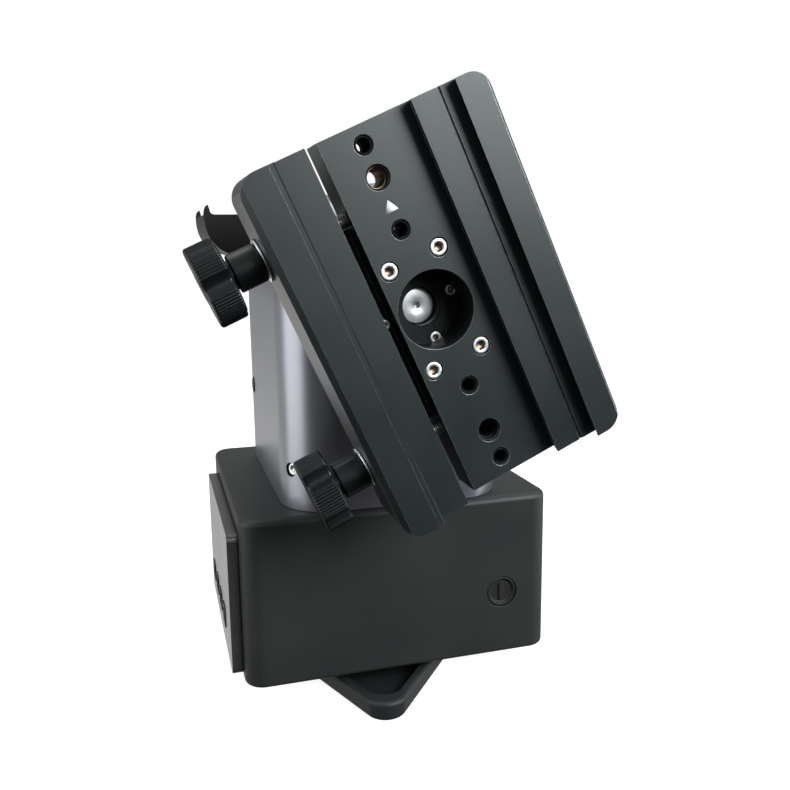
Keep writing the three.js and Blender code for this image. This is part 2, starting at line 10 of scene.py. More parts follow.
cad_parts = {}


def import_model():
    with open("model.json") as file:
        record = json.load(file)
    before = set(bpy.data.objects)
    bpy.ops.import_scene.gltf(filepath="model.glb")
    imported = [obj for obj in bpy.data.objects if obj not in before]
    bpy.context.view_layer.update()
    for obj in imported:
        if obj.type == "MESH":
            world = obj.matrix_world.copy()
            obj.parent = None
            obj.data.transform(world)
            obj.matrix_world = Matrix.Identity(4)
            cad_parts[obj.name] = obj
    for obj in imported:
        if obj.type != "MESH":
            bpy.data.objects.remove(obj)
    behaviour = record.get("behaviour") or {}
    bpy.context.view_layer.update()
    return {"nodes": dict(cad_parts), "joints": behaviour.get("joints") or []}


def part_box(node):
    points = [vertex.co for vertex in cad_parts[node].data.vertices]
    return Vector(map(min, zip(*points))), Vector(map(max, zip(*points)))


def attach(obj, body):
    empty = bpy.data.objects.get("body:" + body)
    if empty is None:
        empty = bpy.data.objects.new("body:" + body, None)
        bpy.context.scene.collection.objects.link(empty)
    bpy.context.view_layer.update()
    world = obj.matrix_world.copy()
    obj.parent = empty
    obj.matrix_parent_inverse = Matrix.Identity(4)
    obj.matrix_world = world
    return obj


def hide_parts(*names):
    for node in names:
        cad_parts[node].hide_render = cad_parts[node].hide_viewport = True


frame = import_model()
MM = 0.001
COLLECTION = bpy.context.scene.collection
JOINTS = {joint["name"]: joint for joint in frame["joints"]}

# ---------- places that the frame gives, in millimetres ----------
SLIDE = Vector(JOINTS["jaw_slide"]["axis"])
TILT = -math.atan2(SLIDE.z, SLIDE.x)
ALT_Z = JOINTS["altitude_turn"]["pos_m"][2] / MM
SADDLE_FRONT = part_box("saddle_plate")[0].y / MM
SADDLE = (
    Matrix.Translation((0, SADDLE_FRONT * MM, ALT_Z * MM))
    @ Matrix.Rotation(TILT, 4, "Y")
    @ Matrix.Scale(MM, 4)
)
WORLD = Matrix.Scale(MM, 4)
SHARP_ANGLE = math.radians(28)
AXIS_R = 0.01
GAP = 0.3


# ---------- mesh tools (all work in millimetres) ----------
def new_object(name, bm, materials, place=WORLD):
    """Turns a bmesh into an object whose mesh is already in its place, in metres."""
    bmesh.ops.remove_doubles(bm, verts=bm.verts, dist=1e-4)
    bmesh.ops.recalc_face_normals(bm, faces=bm.faces)
    mesh = bpy.data.meshes.new(name)
    bm.to_mesh(mesh)
    bm.free()
    mesh.transform(place)
    for polygon in mesh.polygons:
        polygon.use_smooth = True
    for material in materials:
        mesh.materials.append(material)
    obj = bpy.data.objects.new(name, mesh)
    COLLECTION.objects.link(obj)
    return obj


def apply_modifiers(obj):
    """Bakes an object's modifiers into its mesh."""
    bpy.context.view_layer.update()
    graph = bpy.context.evaluated_depsgraph_get()
    mesh = bpy.data.meshes.new_from_object(obj.evaluated_get(graph))
    old = obj.data
    obj.modifiers.clear()
    obj.data = mesh
    bpy.data.meshes.remove(old)
    mesh.name = obj.name
    return obj


def combine(obj, other, operation, use_self=False):
    """Joins, cuts or crosses obj with another object, which is used up."""
    modifier = obj.modifiers.new("combine", "BOOLEAN")
    modifier.operation = operation
    modifier.object = other
    modifier.solver = "EXACT"
    modifier.use_self = use_self
    apply_modifiers(obj)
    bpy.data.objects.remove(other)
    return obj


def soften(obj, width, segments=2, edge_slot=-1):
    """Rounds the sharp edges, with a material slot of their own if one is given; on the saddle that slot
    holds the edge colour, edge wear with a painted highlight.
    """
    bevel = obj.modifiers.new("edges", "BEVEL")
    bevel.width = width * MM
    bevel.segments = segments
    bevel.limit_method = "ANGLE"
    bevel.angle_limit = SHARP_ANGLE
    bevel.use_clamp_overlap = True
    bevel.material = edge_slot
    bevel.miter_outer = "MITER_ARC"
    normals = obj.modifiers.new("normals", "WEIGHTED_NORMAL")
    normals.keep_sharp = False
    normals.weight = 80
    return apply_modifiers(obj)


def loft(bm, rings, cap_start=True, cap_end=True):
    """Skins closed rings that all have the same number of points."""
    made = [[bm.verts.new(point) for point in ring] for ring in rings]
    count = len(made[0])
    for low, high in zip(made, made[1:]):
        for i in range(count):
            j = (i + 1) % count
            bm.faces.new((low[i], low[j], high[j], high[i]))
    if cap_start:
        bm.faces.new(made[0][::-1])
    if cap_end:
        bm.faces.new(made[-1])
    return bm


def circle(radius, count, axis, along, centre=(0, 0)):
    """A ring of points about an axis: x, y or z."""
    points = []
    for i in range(count):
        turn = 2 * math.pi * i / count
        a = centre[0] + radius * math.cos(turn)
        b = centre[1] + radius * math.sin(turn)
        points.append({"x": (along, a, b), "y": (a, along, b), "z": (a, b, along)}[axis])
    return points


def lathe(bm, profile, axis="y", centre=(0, 0), count=64):
    """A body turned from (radius, place along the axis) points."""
    rings = [circle(max(radius, 1e-3), count, axis, along, centre) for radius, along in profile]
    return loft(bm, rings)


def cylinder(bm, radius, low, high, axis="y", centre=(0, 0), count=48):
    return lathe(bm, [(radius, low), (radius, high)], axis, centre, count)


def prism(bm, outline, low, high, axis="y"):
    """A prism of an outline of (a, b) points, from low to high along an axis."""
    def place(a, b, along):
        return {"x": (along, a, b), "y": (a, along, b), "z": (a, b, along)}[axis]
    return loft(bm, [[place(a, b, along) for a, b in outline] for along in (low, high)])


def block(bm, low, high):
    outline = [(low[0], low[1]), (high[0], low[1]), (high[0], high[1]), (low[0], high[1])]
    return prism(bm, outline, low[2], high[2], "z")


def arc(centre, radius, start, end, steps):
    """Points along an arc, its angles in degrees."""
    points = []
    for i in range(steps + 1):
        turn = math.radians(start + (end - start) * i / steps)
        points.append((centre[0] + radius * math.cos(turn), centre[1] + radius * math.sin(turn)))
    return points


def round_rect(left, low, right, high, radius, steps=10):
    points = arc((right - radius, low + radius), radius, -90, 0, steps)
    points += arc((right - radius, high - radius), radius, 0, 90, steps)
    points += arc((left + radius, high - radius), radius, 90, 180, steps)
    points += arc((left + radius, low + radius), radius, 180, 270, steps)
    return points


# ---------- materials ----------
NOISE_LOW = 0.3
NOISE_HIGH = 0.7
COAT_ROUGH = 0.2


def noise(nodes, links, coords, scale, detail):
    """A noise texture whose scale counts in millimetres."""
    mapping = nodes.new("ShaderNodeMapping")
    mapping.inputs["Scale"].default_value = [1 / MM] * 3
    links.new(coords.outputs["Object"], mapping.inputs["Vector"])
    texture = nodes.new("ShaderNodeTexNoise")
    texture.inputs["Scale"].default_value = scale
    texture.inputs["Detail"].default_value = detail
    texture.inputs["Roughness"].default_value = 0.6
    links.new(mapping.outputs["Vector"], texture.inputs["Vector"])
    return texture


def spread(nodes, links, source, low, high):
    """Maps a texture's factor onto a range."""
    node = nodes.new("ShaderNodeMapRange")
    node.inputs["From Min"].default_value = NOISE_LOW
    node.inputs["From Max"].default_value = NOISE_HIGH
    node.inputs["To Min"].default_value = low
    node.inputs["To Max"].default_value = high
    links.new(source, node.inputs["Value"])
    return node.outputs["Result"]


def tint(nodes, links, source, dark, light):
    """A colour between two, by a texture's factor."""
    ramp = nodes.new("ShaderNodeValToRGB")
    ramp.color_ramp.elements[0].position = NOISE_LOW
    ramp.color_ramp.elements[1].position = NOISE_HIGH
    ramp.color_ramp.elements[0].color = (*dark, 1)
    ramp.color_ramp.elements[1].color = (*light, 1)
    links.new(source, ramp.inputs["Fac"])
    return ramp.outputs["Color"]


def surface(name, dark, light, rough, metallic=0.0, specular=0.5, grain=3.0, bump=0.05,
            cloud=0.03, coat=0.0, bump_depth=0.05):
    """A procedural surface: a cloudy colour, a cloudy gloss and a fine grain in relief."""
    material = bpy.data.materials.new(name)
    material.use_nodes = True
    nodes, links = material.node_tree.nodes, material.node_tree.links
    shader = nodes["Principled BSDF"]
    coords = nodes.new("ShaderNodeTexCoord")
    clouds = noise(nodes, links, coords, cloud, 4)
    fine = noise(nodes, links, coords, grain, 2)
    links.new(tint(nodes, links, clouds.outputs["Fac"], dark, light), shader.inputs["Base Color"])
    blend = nodes.new("ShaderNodeMath")
    blend.operation = "MULTIPLY_ADD"
    blend.inputs[1].default_value = 0.5
    links.new(fine.outputs["Fac"], blend.inputs[0])
    half = nodes.new("ShaderNodeMath")
    half.operation = "MULTIPLY"
    half.inputs[1].default_value = 0.5
    links.new(clouds.outputs["Fac"], half.inputs[0])
    links.new(half.outputs["Value"], blend.inputs[2])
    links.new(spread(nodes, links, blend.outputs["Value"], *rough), shader.inputs["Roughness"])
    relief = nodes.new("ShaderNodeBump")
    relief.inputs["Strength"].default_value = bump
    relief.inputs["Distance"].default_value = bump_depth * MM
    links.new(fine.outputs["Fac"], relief.inputs["Height"])
    links.new(relief.outputs["Normal"], shader.inputs["Normal"])
    shader.inputs["Metallic"].default_value = metallic
    shader.inputs["Specular IOR Level"].default_value = specular
    shader.inputs["Coat Weight"].default_value = coat
    shader.inputs["Coat Roughness"].default_value = COAT_ROUGH
    return material


def turned_metal(name, centre, dark, light, rough, ring_scale):
    """Bright metal with fine turning marks round a point, seen along Y."""
    material = surface(name, dark, light, rough, metallic=1.0, grain=4, bump=0.1)
    nodes, links = material.node_tree.nodes, material.node_tree.links
    shader = nodes["Principled BSDF"]
    coords = nodes.new("ShaderNodeTexCoord")
    mapping = nodes.new("ShaderNodeMapping")
    mapping.inputs["Location"].default_value = [-c for c in centre]
    links.new(coords.outputs["Object"], mapping.inputs["Vector"])
    rings = nodes.new("ShaderNodeTexWave")
    rings.wave_type = "RINGS"
    rings.rings_direction = "Y"
    rings.inputs["Scale"].default_value = ring_scale
    rings.inputs["Distortion"].default_value = 1.5
    rings.inputs["Detail"].default_value = 3
    rings.inputs["Detail Scale"].default_value = 4
    links.new(mapping.outputs["Vector"], rings.inputs["Vector"])
    relief = nodes.new("ShaderNodeBump")
    relief.inputs["Strength"].default_value = 0.35
    relief.inputs["Distance"].default_value = 0.05 * MM
    links.new(rings.outputs["Fac"], relief.inputs["Height"])
    links.new(relief.outputs["Normal"], shader.inputs["Normal"])
    return material


ANODISED = surface("anodised_black", (0.0065, 0.0105, 0.0115), (0.0105, 0.0155, 0.017), (0.34, 0.44),
                   specular=0.55, grain=2.2, bump=0.28, cloud=0.02, bump_depth=0.06)
# Edge wear and painted highlight: a lighter, metallic colour for the bevelled edges.
EDGE_WEAR_AND_HIGHLIGHT = surface("edge_wear_and_highlight", (0.12, 0.13, 0.14), (0.30, 0.31, 0.32), (0.22, 0.34),
                        metallic=0.7, grain=1.2, bump=0.1, cloud=0.15)
# Painted shade: a darker, duller copy of the anodised black, for hollows, cut walls, the channel lip and
# the parts that lie behind the saddle or under the box.
ANODISED_SHADE = surface("anodised_shade", (0.006, 0.0075, 0.008), (0.010, 0.012, 0.0125), (0.45, 0.6),
                        specular=0.2, grain=2.2, bump=0.2)
# Painted reflection: a paler copy of the anodised black for the jaw's left flank, standing in for the
# grazing reflection on it.
ANODISED_SHEEN = surface("anodised_sheen", (0.045, 0.047, 0.047), (0.06, 0.062, 0.062), (0.26, 0.36),
                        grain=2.2, bump=0.2, cloud=0.02)
TOWER_SILVER = surface("tower_silver", (0.27, 0.275, 0.305), (0.325, 0.33, 0.365), (0.30, 0.38),
                       metallic=0.85, grain=5, bump=0.16, cloud=0.012, bump_depth=0.04)
BOX_PAINT = surface("box_paint", (0.014, 0.0155, 0.0155), (0.019, 0.0205, 0.020), (0.46, 0.58),
                    specular=0.4, grain=1.6, bump=0.35, cloud=0.015, bump_depth=0.08)
FOOT_PAINT = surface("foot_paint", (0.013, 0.0145, 0.0155), (0.019, 0.021, 0.022), (0.42, 0.56),
                     specular=0.3, grain=0.9, bump=0.5, cloud=0.03, bump_depth=0.12)
# Painted shade: a near-black, dull copy of the foot paint, for the pockets.
FOOT_POCKET_SHADE = surface("foot_pocket_shade", (0.003, 0.0035, 0.004), (0.006, 0.007, 0.0075), (0.8, 0.9),
                      specular=0.03, grain=0.9, bump=0.4, bump_depth=0.1)
KNOB_PLASTIC = surface("knob_plastic", (0.0035, 0.005, 0.0055), (0.006, 0.008, 0.0085), (0.3, 0.42),
                       specular=0.3, grain=1.4, bump=0.3, cloud=0.05, bump_depth=0.05)
BRACKET_PLASTIC = surface("bracket_plastic", (0.008, 0.0072, 0.0065), (0.013, 0.0118, 0.0105),
                          (0.42, 0.55), specular=0.25, grain=1.2, bump=0.35, cloud=0.03)
RUBBER = surface("rubber", (0.010, 0.010, 0.010), (0.016, 0.016, 0.016), (0.5, 0.68),
                 specular=0.35, grain=1.0, bump=0.4, cloud=0.06)
PANEL = surface("panel_face", (0.03, 0.031, 0.032), (0.042, 0.043, 0.044), (0.26, 0.36),
                specular=0.6, grain=2.0, bump=0.08, cloud=0.03, coat=0.3)
SOCKET = surface("socket_plastic", (0.016, 0.016, 0.017), (0.026, 0.026, 0.027), (0.4, 0.52),
                 grain=1.5, bump=0.2)
STEEL = surface("bright_steel", (0.82, 0.83, 0.83), (0.94, 0.95, 0.94), (0.34, 0.46),
                metallic=1.0, grain=2.0, bump=0.08, cloud=0.2)
WASHER_STEEL = surface("washer_steel", (0.74, 0.77, 0.80), (0.86, 0.89, 0.92), (0.2, 0.32),
                       metallic=1.0, grain=2.0, bump=0.08, cloud=0.15)
# Painted shade: a darker, brownish copy of the steel, for the inside of hex sockets and for a thread wall
# deep in a hole.
STEEL_IN_SHADE = surface("steel_in_shade", (0.20, 0.15, 0.10), (0.36, 0.28, 0.20), (0.28, 0.45),
                    metallic=0.9, grain=1.5, bump=0.2, cloud=0.4)
ROD_STEEL = surface("rod_steel", (0.16, 0.155, 0.15), (0.28, 0.27, 0.26), (0.26, 0.4),
                    metallic=0.95, grain=1.5, bump=0.15, cloud=0.2)
WHITE_MARK = surface("white_mark", (0.72, 0.73, 0.73), (0.82, 0.82, 0.82), (0.4, 0.55),
                     grain=2.5, bump=0.2, cloud=0.3)
SHAFT_CENTRE = (0, SADDLE_FRONT * MM, ALT_Z * MM)
SHAFT_METAL = turned_metal("shaft_metal", SHAFT_CENTRE, (0.80, 0.81, 0.82), (0.94, 0.95, 0.95),
                           (0.3, 0.42), 420)


def own(piece, body, nodes=()):
    """Says which body a piece rides on and which CAD nodes it stands for."""
    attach(piece, body)
    if nodes:
        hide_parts(*nodes)
    return piece


# ---------- tower and saddle sizes ----------
TOWER_LOW, TOWER_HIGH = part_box("tower")
TOWER_HALF = TOWER_HIGH.x / MM
TOWER_FRONT = TOWER_LOW.y / MM
TOWER_BACK = TOWER_HIGH.y / MM
TOWER_FOOT = TOWER_LOW.z / MM
TOWER_EDGE = 32.0
HALF_L = 104.0
THICK = 44.0
LEFT = -71.0
RIGHT = 69.0
CORNER = 11.0
WIDE = 8.3
NARROW = 18.4
FLOOR_LEFT = -22.6
LIP = -48.9
TRAVEL = 16.0
HEEL = FLOOR_LEFT - TRAVEL - 1
HUB_HOLE = 21.7
BOLT = (15.2, 29.7)
FLOOR_HOLES = ((93.5, 4.3), (75.9, 5.8), (46.8, 4.4))
SINK = 1.1
SEAT_R = 5.4
ROD_HOLE_R = 4.4
EDGE = 0.35
BRIDGE_LEFT = -48.0
BRIDGE_HALF_L = 58.0
BRIDGE_FRONT = 34.5
KNOB_H = 28.0
KNOB_V = 63.0


def saddle_body(name, profile):
    """A profile of (u, h) points run along the saddle and cut to its rounded outline."""
    bm = prism(bmesh.new(), profile, -HALF_L, HALF_L, "z")
    # Slots: the anodised black, the edge colour (edge wear with a painted highlight) and the black of
    # painted shade.
    piece = new_object(name, bm, [ANODISED, EDGE_WEAR_AND_HIGHLIGHT, ANODISED_SHADE], SADDLE)
    outline = round_rect(LEFT, -HALF_L, RIGHT, HALF_L, CORNER, 14)
    mask = new_object("mask", prism(bmesh.new(), outline, -2, THICK + 2, "y"), [], SADDLE)
    return combine(piece, mask, "INTERSECT")


def saddle_plate():
    piece = saddle_body("saddle_plate_body", [
        (FLOOR_LEFT, NARROW), (31.6, NARROW), (28.9, WIDE), (44, WIDE), (44, WIDE + 1.2),
        (45.6, WIDE + 1.2), (45.6, WIDE), (55.4, WIDE), (51.4, 0), (RIGHT - 1.5, 0),
        (RIGHT, 1.5), (RIGHT, THICK), (FLOOR_LEFT, THICK),
    ])
    # Painted shade: a block, listed with the shade black, fills the dark region behind the jaw.
    shade_bridge = block(bmesh.new(), (BRIDGE_LEFT, BRIDGE_FRONT, -BRIDGE_HALF_L),
                   (FLOOR_LEFT + 0.5, THICK, BRIDGE_HALF_L))
    combine(piece, new_object("shade_bridge", shade_bridge, [ANODISED_SHADE], SADDLE), "UNION")
    cuts = cylinder(bmesh.new(), HUB_HOLE, -1, THICK + 1, count=96)
    for side in (-1, 1):
        for v, radius in FLOOR_HOLES:
            wide = radius + SINK
            sink = [(wide, -1), (wide, NARROW + 0.4), (radius, NARROW + 1.6), (radius, THICK + 1)]
            lathe(cuts, sink, centre=(0, side * v))
        for across in (-1, 1):
            place = (across * BOLT[0], side * BOLT[1])
            cylinder(cuts, SEAT_R, -1, NARROW + 5.8, centre=place)
        cylinder(cuts, ROD_HOLE_R, BRIDGE_LEFT, 15, "x", centre=(KNOB_H, side * KNOB_V))
    # The cutters carry the painted-shade black for the walls of the holes.
    combine(piece, new_object("cuts", cuts, [ANODISED_SHADE], SADDLE), "DIFFERENCE")
    soften(piece, EDGE, 2, 1)
    return own(piece, "saddle", ["saddle_plate"])


def shade_and_sheen_jaw(piece):
    """Painted shade in deep black on the lip of the channel, and a painted reflection in a paler colour on
    the flank.
    """
    piece.data.materials.append(ANODISED_SHEEN)
    inverse = SADDLE.inverted()
    square = SADDLE.to_3x3().normalized().inverted()
    for polygon in piece.data.polygons:
        place = inverse @ polygon.center
        if LIP - 1.3 < place.x < LIP + 0.5 and place.y < 2:
            polygon.material_index = 2
        elif (square @ polygon.normal).x < -0.9 and place.x < LEFT + 1:
            polygon.material_index = len(piece.data.materials) - 1


def saddle_jaw():
    piece = saddle_body("saddle_jaw_body", [
        (LEFT + 3.2, 0), (-52.3, 0), (-52.3, 0.6), (LIP - 0.9, 0.6), (LIP, 1.5), (-52.9, WIDE),
        (-31.05, WIDE), (-33.75, NARROW - GAP), (HEEL, NARROW - GAP), (HEEL, THICK), (LEFT, THICK),
        (LEFT, 3.2),
    ])
    pocket = block(bmesh.new(), (BRIDGE_LEFT - TRAVEL - 1, BRIDGE_FRONT - GAP, -BRIDGE_HALF_L - GAP),
                   (HEEL + 1, THICK + 1, BRIDGE_HALF_L + GAP))
    # The cutters carry the painted-shade black for the walls of the pocket and the rod holes.
    combine(piece, new_object("pocket", pocket, [ANODISED_SHADE], SADDLE), "DIFFERENCE")
    cuts = block(bmesh.new(), (-27.5 - TRAVEL - 4, 26.5, -0.5), (HEEL + 1, BRIDGE_FRONT, 7.5))
    for side in (-1, 1):
        cylinder(cuts, ROD_HOLE_R, LEFT - 1, HEEL + 1, "x", centre=(KNOB_H, side * KNOB_V))
    combine(piece, new_object("cuts", cuts, [ANODISED_SHADE], SADDLE), "DIFFERENCE")
    soften(piece, EDGE, 2, 1)
    shade_and_sheen_jaw(piece)
    return own(piece, "jaw", ["saddle_jaw"])


def cap_screw(name, node, u, v, front, radius, height, hex_radius, body):
    """A socket head cap screw: a rounded knurled rim round a deep hex socket."""
    count = 96
    rim = min(0.55, radius * 0.16)

    def ring(r, h, knurl=0.0):
        points = []
        for i in range(count):
            turn = 2 * math.pi * i / count
            reach = r - (knurl if i % 4 < 2 else 0)
            points.append((u + reach * math.cos(turn), h, v + reach * math.sin(turn)))
        return points

    def hexagon(r, h):
        points = []
        for i in range(count):
            turn = 2 * math.pi * i / count
            sector = (turn % (math.pi / 3)) - math.pi / 6
            reach = r * math.cos(math.pi / 6) / math.cos(sector)
            points.append((u + reach * math.cos(turn), h, v + reach * math.sin(turn)))
        return points

    depth = min(3.2, height - 0.6)
    rings = [
        ring(0.05, front + depth + 0.5), hexagon(hex_radius * 0.9, front + depth),
        hexagon(hex_radius, front + depth - 0.3), hexagon(hex_radius, front + 0.35),
        ring(hex_radius + 0.35, front), ring(radius - rim, front),
        ring(radius - rim * 0.3, front + rim * 0.3), ring(radius, front + rim),
        ring(radius, front + rim + 0.3, 0.12), ring(radius, front + height, 0.12),
        ring(0.05, front + height),
    ]
    bm = loft(bmesh.new(), rings)
    # Faces deep in the hex socket take the shaded steel: painted shade in the socket.
    for face in bm.faces:
        centre = face.calc_center_median()
        away = math.hypot(centre.x - u, centre.z - v)
        face.material_index = 1 if away < hex_radius + 0.02 and centre.y > front + 0.2 else 0
    piece = new_object(name, bm, [STEEL, STEEL_IN_SHADE], SADDLE)
    soften(piece, 0.06, 1)
    return own(piece, body, [node])


def thread_insert(index, v, radius, dark):
    """A threaded wall in a floor hole, down from just under the floor."""
    inner = radius * (0.86 if radius > 5 else 0.93)
    low, high = NARROW + (4.5 if radius > 5 else 0.9), THICK - 1
    outer = radius - 0.05
    profile = [(outer, low), (inner, low)]
    step = 0.5
    for i in range(int((high - low) / step) - 1):
        depth = 0.32 if i % 2 else 0.0
        profile.append((inner - depth, low + (i + 0.5) * step))
    profile += [(inner, high), (outer, high)]
    bm = bmesh.new()
    rings = [circle(r, 48, "y", along, (0, v)) for r, along in profile]
    rings.append(rings[0])
    loft(bm, rings, False, False)
    # The wall is coloured as painted shade: the shade black where dark, else the shaded steel.
    material = ANODISED_SHADE if dark else STEEL_IN_SHADE
    piece = new_object("hole_thread_%d" % index, bm, [material], SADDLE)
    return own(piece, "saddle")


def pointer_mark():
    """A small solid triangle painted on the saddle floor, which points along the clamp."""
    low, high = NARROW - 0.06, NARROW + 0.1
    outline = [(-0.3, 63.6), (3.4, 57.2), (-4.4, 57.2)]
    piece = new_object("pointer_mark", prism(bmesh.new(), outline, low, high, "y"), [WHITE_MARK], SADDLE)
    return own(piece, "saddle")


# ---------- star knobs ----------
LOBES = 5
LOBE_HALF = 0.29
KNOB_TURN = {"upper": math.radians(36), "lower": 0.0}
KNOB_REACH = 22.2
KNOB_THICK = 15.5
KNOB_ROUND = 1.7
FLUTE_DEPTH = 4.6
RIDGES = 9
RIDGE_DEPTH = 0.7
WASHER_THICK = 1.4
STEM_START = LEFT - WASHER_THICK - 2 * GAP - 15.5
THREAD_PITCH = 1.1


def lobe_radius(turn, ridged=True):
    """The knob's edge: ridged lobes with smooth flutes between them."""
    pitch = 2 * math.pi / LOBES
    phase = (turn / pitch) % 1 - 0.5
    away = abs(phase)
    if away < LOBE_HALF:
        if not ridged:
            return KNOB_REACH - 0.3
        wave = 0.5 - 0.5 * math.cos((phase + LOBE_HALF) / (2 * LOBE_HALF) * RIDGES * 2 * math.pi)
        return KNOB_REACH - RIDGE_DEPTH * wave ** 0.7
    flute = (away - LOBE_HALF) / (0.5 - LOBE_HALF)
    return KNOB_REACH - FLUTE_DEPTH * math.sin(flute * math.pi / 2) ** 0.75


def star_knob(place, side):
    v = side * KNOB_V
    inner = STEM_START - 2
    outer = inner - KNOB_THICK
    count = 420
    turns = [2 * math.pi * (i + 0.5) / count for i in range(count)]

    def lobed(drop, x, ridged=True):
        points = []
        for t in turns:
            reach = lobe_radius(t + KNOB_TURN[place], ridged) - drop
            points.append((x, KNOB_H + reach * math.cos(t), v + reach * math.sin(t)))
        return points

    def round_ring(r, x):
        return [(x, KNOB_H + r * math.cos(t), v + r * math.sin(t)) for t in turns]

    rings = [round_ring(0.05, outer + 1.6), round_ring(7.4, outer + 1.6), round_ring(7.8, outer + 1.3),
             round_ring(8.1, outer + 0.5), round_ring(9.0, outer + 0.3), lobed(4.0, outer + 0.3, False),
             lobed(3.0, outer + 0.05, False)]
    for i in range(6):
        turn = math.radians(90 * i / 5)
        rings.append(lobed(KNOB_ROUND * (1 - math.sin(turn)), outer + KNOB_ROUND * (1 - math.cos(turn))))
    for i in range(6):
        turn = math.radians(90 * i / 5)
        rings.append(lobed(KNOB_ROUND * (1 - math.cos(turn)), inner - KNOB_ROUND * (1 - math.sin(turn))))
    rings += [lobed(3.0, inner, False), round_ring(9.4, inner), round_ring(8.3, inner + 0.4),
              round_ring(8, inner + 1.2), round_ring(8, STEM_START), round_ring(9.9, STEM_START + 0.1),
              round_ring(10.5, STEM_START + 0.8), round_ring(10.5, STEM_START + 14.6),
              round_ring(10.1, STEM_START + 15.4), round_ring(0.05, STEM_START + 15.5)]
    bm = loft(bmesh.new(), rings)
    piece = new_object("star_knob_" + place, bm, [KNOB_PLASTIC], SADDLE)
    normals = piece.modifiers.new("normals", "WEIGHTED_NORMAL")
    normals.keep_sharp = False
    apply_modifiers(piece)
    own(piece, "knob_" + place, ["clamp_knob_" + place])

    profile = [(3.4, STEM_START + 15.0), (3.9, STEM_START + 15.2)]
    x = STEM_START + 15.6
    while x < -5.2:
        profile += [(3.98, x), (3.98, x + 0.25), (3.5, x + 0.6), (3.5, x + 0.75)]
        x += THREAD_PITCH
    profile += [(3.9, -4.6), (3.2, -4.0)]
    rod = lathe(bmesh.new(), profile, "x", (KNOB_H, v), 40)
    rod = new_object("clamp_rod_" + place, rod, [ROD_STEEL], SADDLE)
    own(rod, "knob_" + place)


def washer(place, side):
    low = LEFT - WASHER_THICK - GAP
    rings = [(4.5, low + 0.15), (4.7, low), (11.7, low), (12, low + 0.3), (12, low + 1.15),
             (11.8, low + WASHER_THICK), (4.7, low + WASHER_THICK), (4.5, low + 1.25), (4.5, low + 0.15)]
    bm = bmesh.new()
    loft(bm, [circle(r, 72, "x", x, (KNOB_H, side * KNOB_V)) for r, x in rings], False, False)
    piece = new_object("knob_washer_" + place, bm, [WASHER_STEEL], SADDLE)
    return own(piece, "jaw", ["clamp_washer_" + place])


# ---------- altitude hub ----------
HUB_FRONT = THICK + GAP
HUB_SCREW_CIRCLE = 20.4
HUB_SCREW_TURNS = [math.radians(90 * i + 1.5) for i in range(4)]
HUB_SCREWS = [
    (HUB_SCREW_CIRCLE * math.cos(turn), HUB_SCREW_CIRCLE * math.sin(turn)) for turn in HUB_SCREW_TURNS
]


def altitude_hub():
    back = TOWER_FRONT - SADDLE_FRONT - 2 * GAP
    profile = [
        (AXIS_R, 61.9), (11, 61.9), (11, HUB_FRONT + 0.8), (11.8, HUB_FRONT), (45.4, HUB_FRONT),
        (46, HUB_FRONT + 0.6), (46, 55.2), (45.2, 56), (36.6, 56), (36, 56.6), (36, back), (AXIS_R, back),
    ]
    # The hub is coloured with the painted-shade black: it lies in the shade behind the saddle.
    piece = new_object("altitude_hub_body", lathe(bmesh.new(), profile, count=128), [ANODISED_SHADE], SADDLE)
    cuts = bmesh.new()
    for place in HUB_SCREWS:
        cylinder(cuts, 4.1, HUB_FRONT - 1, HUB_FRONT + 5, centre=place, count=40)
    combine(piece, new_object("cuts", cuts, [ANODISED_SHADE], SADDLE), "DIFFERENCE")
    soften(piece, 0.15, 1)
    return own(piece, "saddle", ["altitude_hub"])


def altitude_shaft():
    profile = [(AXIS_R, 53.9), (0.9, 53.3), (1.6, 52.6), (1.9, 52.5), (9.9, 52.5), (10.2, 52.6),
               (10.4, 52.9), (10.4, 61.7), (AXIS_R, 61.7)]
    piece = new_object("altitude_shaft_end", lathe(bmesh.new(), profile, count=96), [SHAFT_METAL], SADDLE)
    return own(piece, "saddle", ["altitude_shaft"])


# ---------- tower ----------
TOWER_SCREW_Z = 156.5
ON_EDGE = (
    Matrix.Scale(MM, 4)
    @ Matrix.Translation((TOWER_EDGE - TOWER_HALF, TOWER_FRONT + TOWER_EDGE, TOWER_SCREW_Z))
    @ Matrix.Rotation(math.radians(32), 4, "Z")
)
FLANK_PLUG_AT = (57, 190)
FLANK_PLUG_R = 6.2


def arch(inset, foot, y, steps=72):
    """A ring of points round the arch, drawn in by an inset."""
    half = TOWER_HALF - inset
    points = [(-half, y, foot)]
    points += [(-half, y, foot + (ALT_Z - foot) * i / 24) for i in range(1, 24)]
    for i in range(steps + 1):
        turn = math.pi * (1 - i / steps)
        points.append((half * math.cos(turn), y, ALT_Z + half * math.sin(turn)))
    points += [(half, y, ALT_Z + (foot - ALT_Z) * i / 24) for i in range(1, 24)]
    points.append((half, y, foot))
    return points


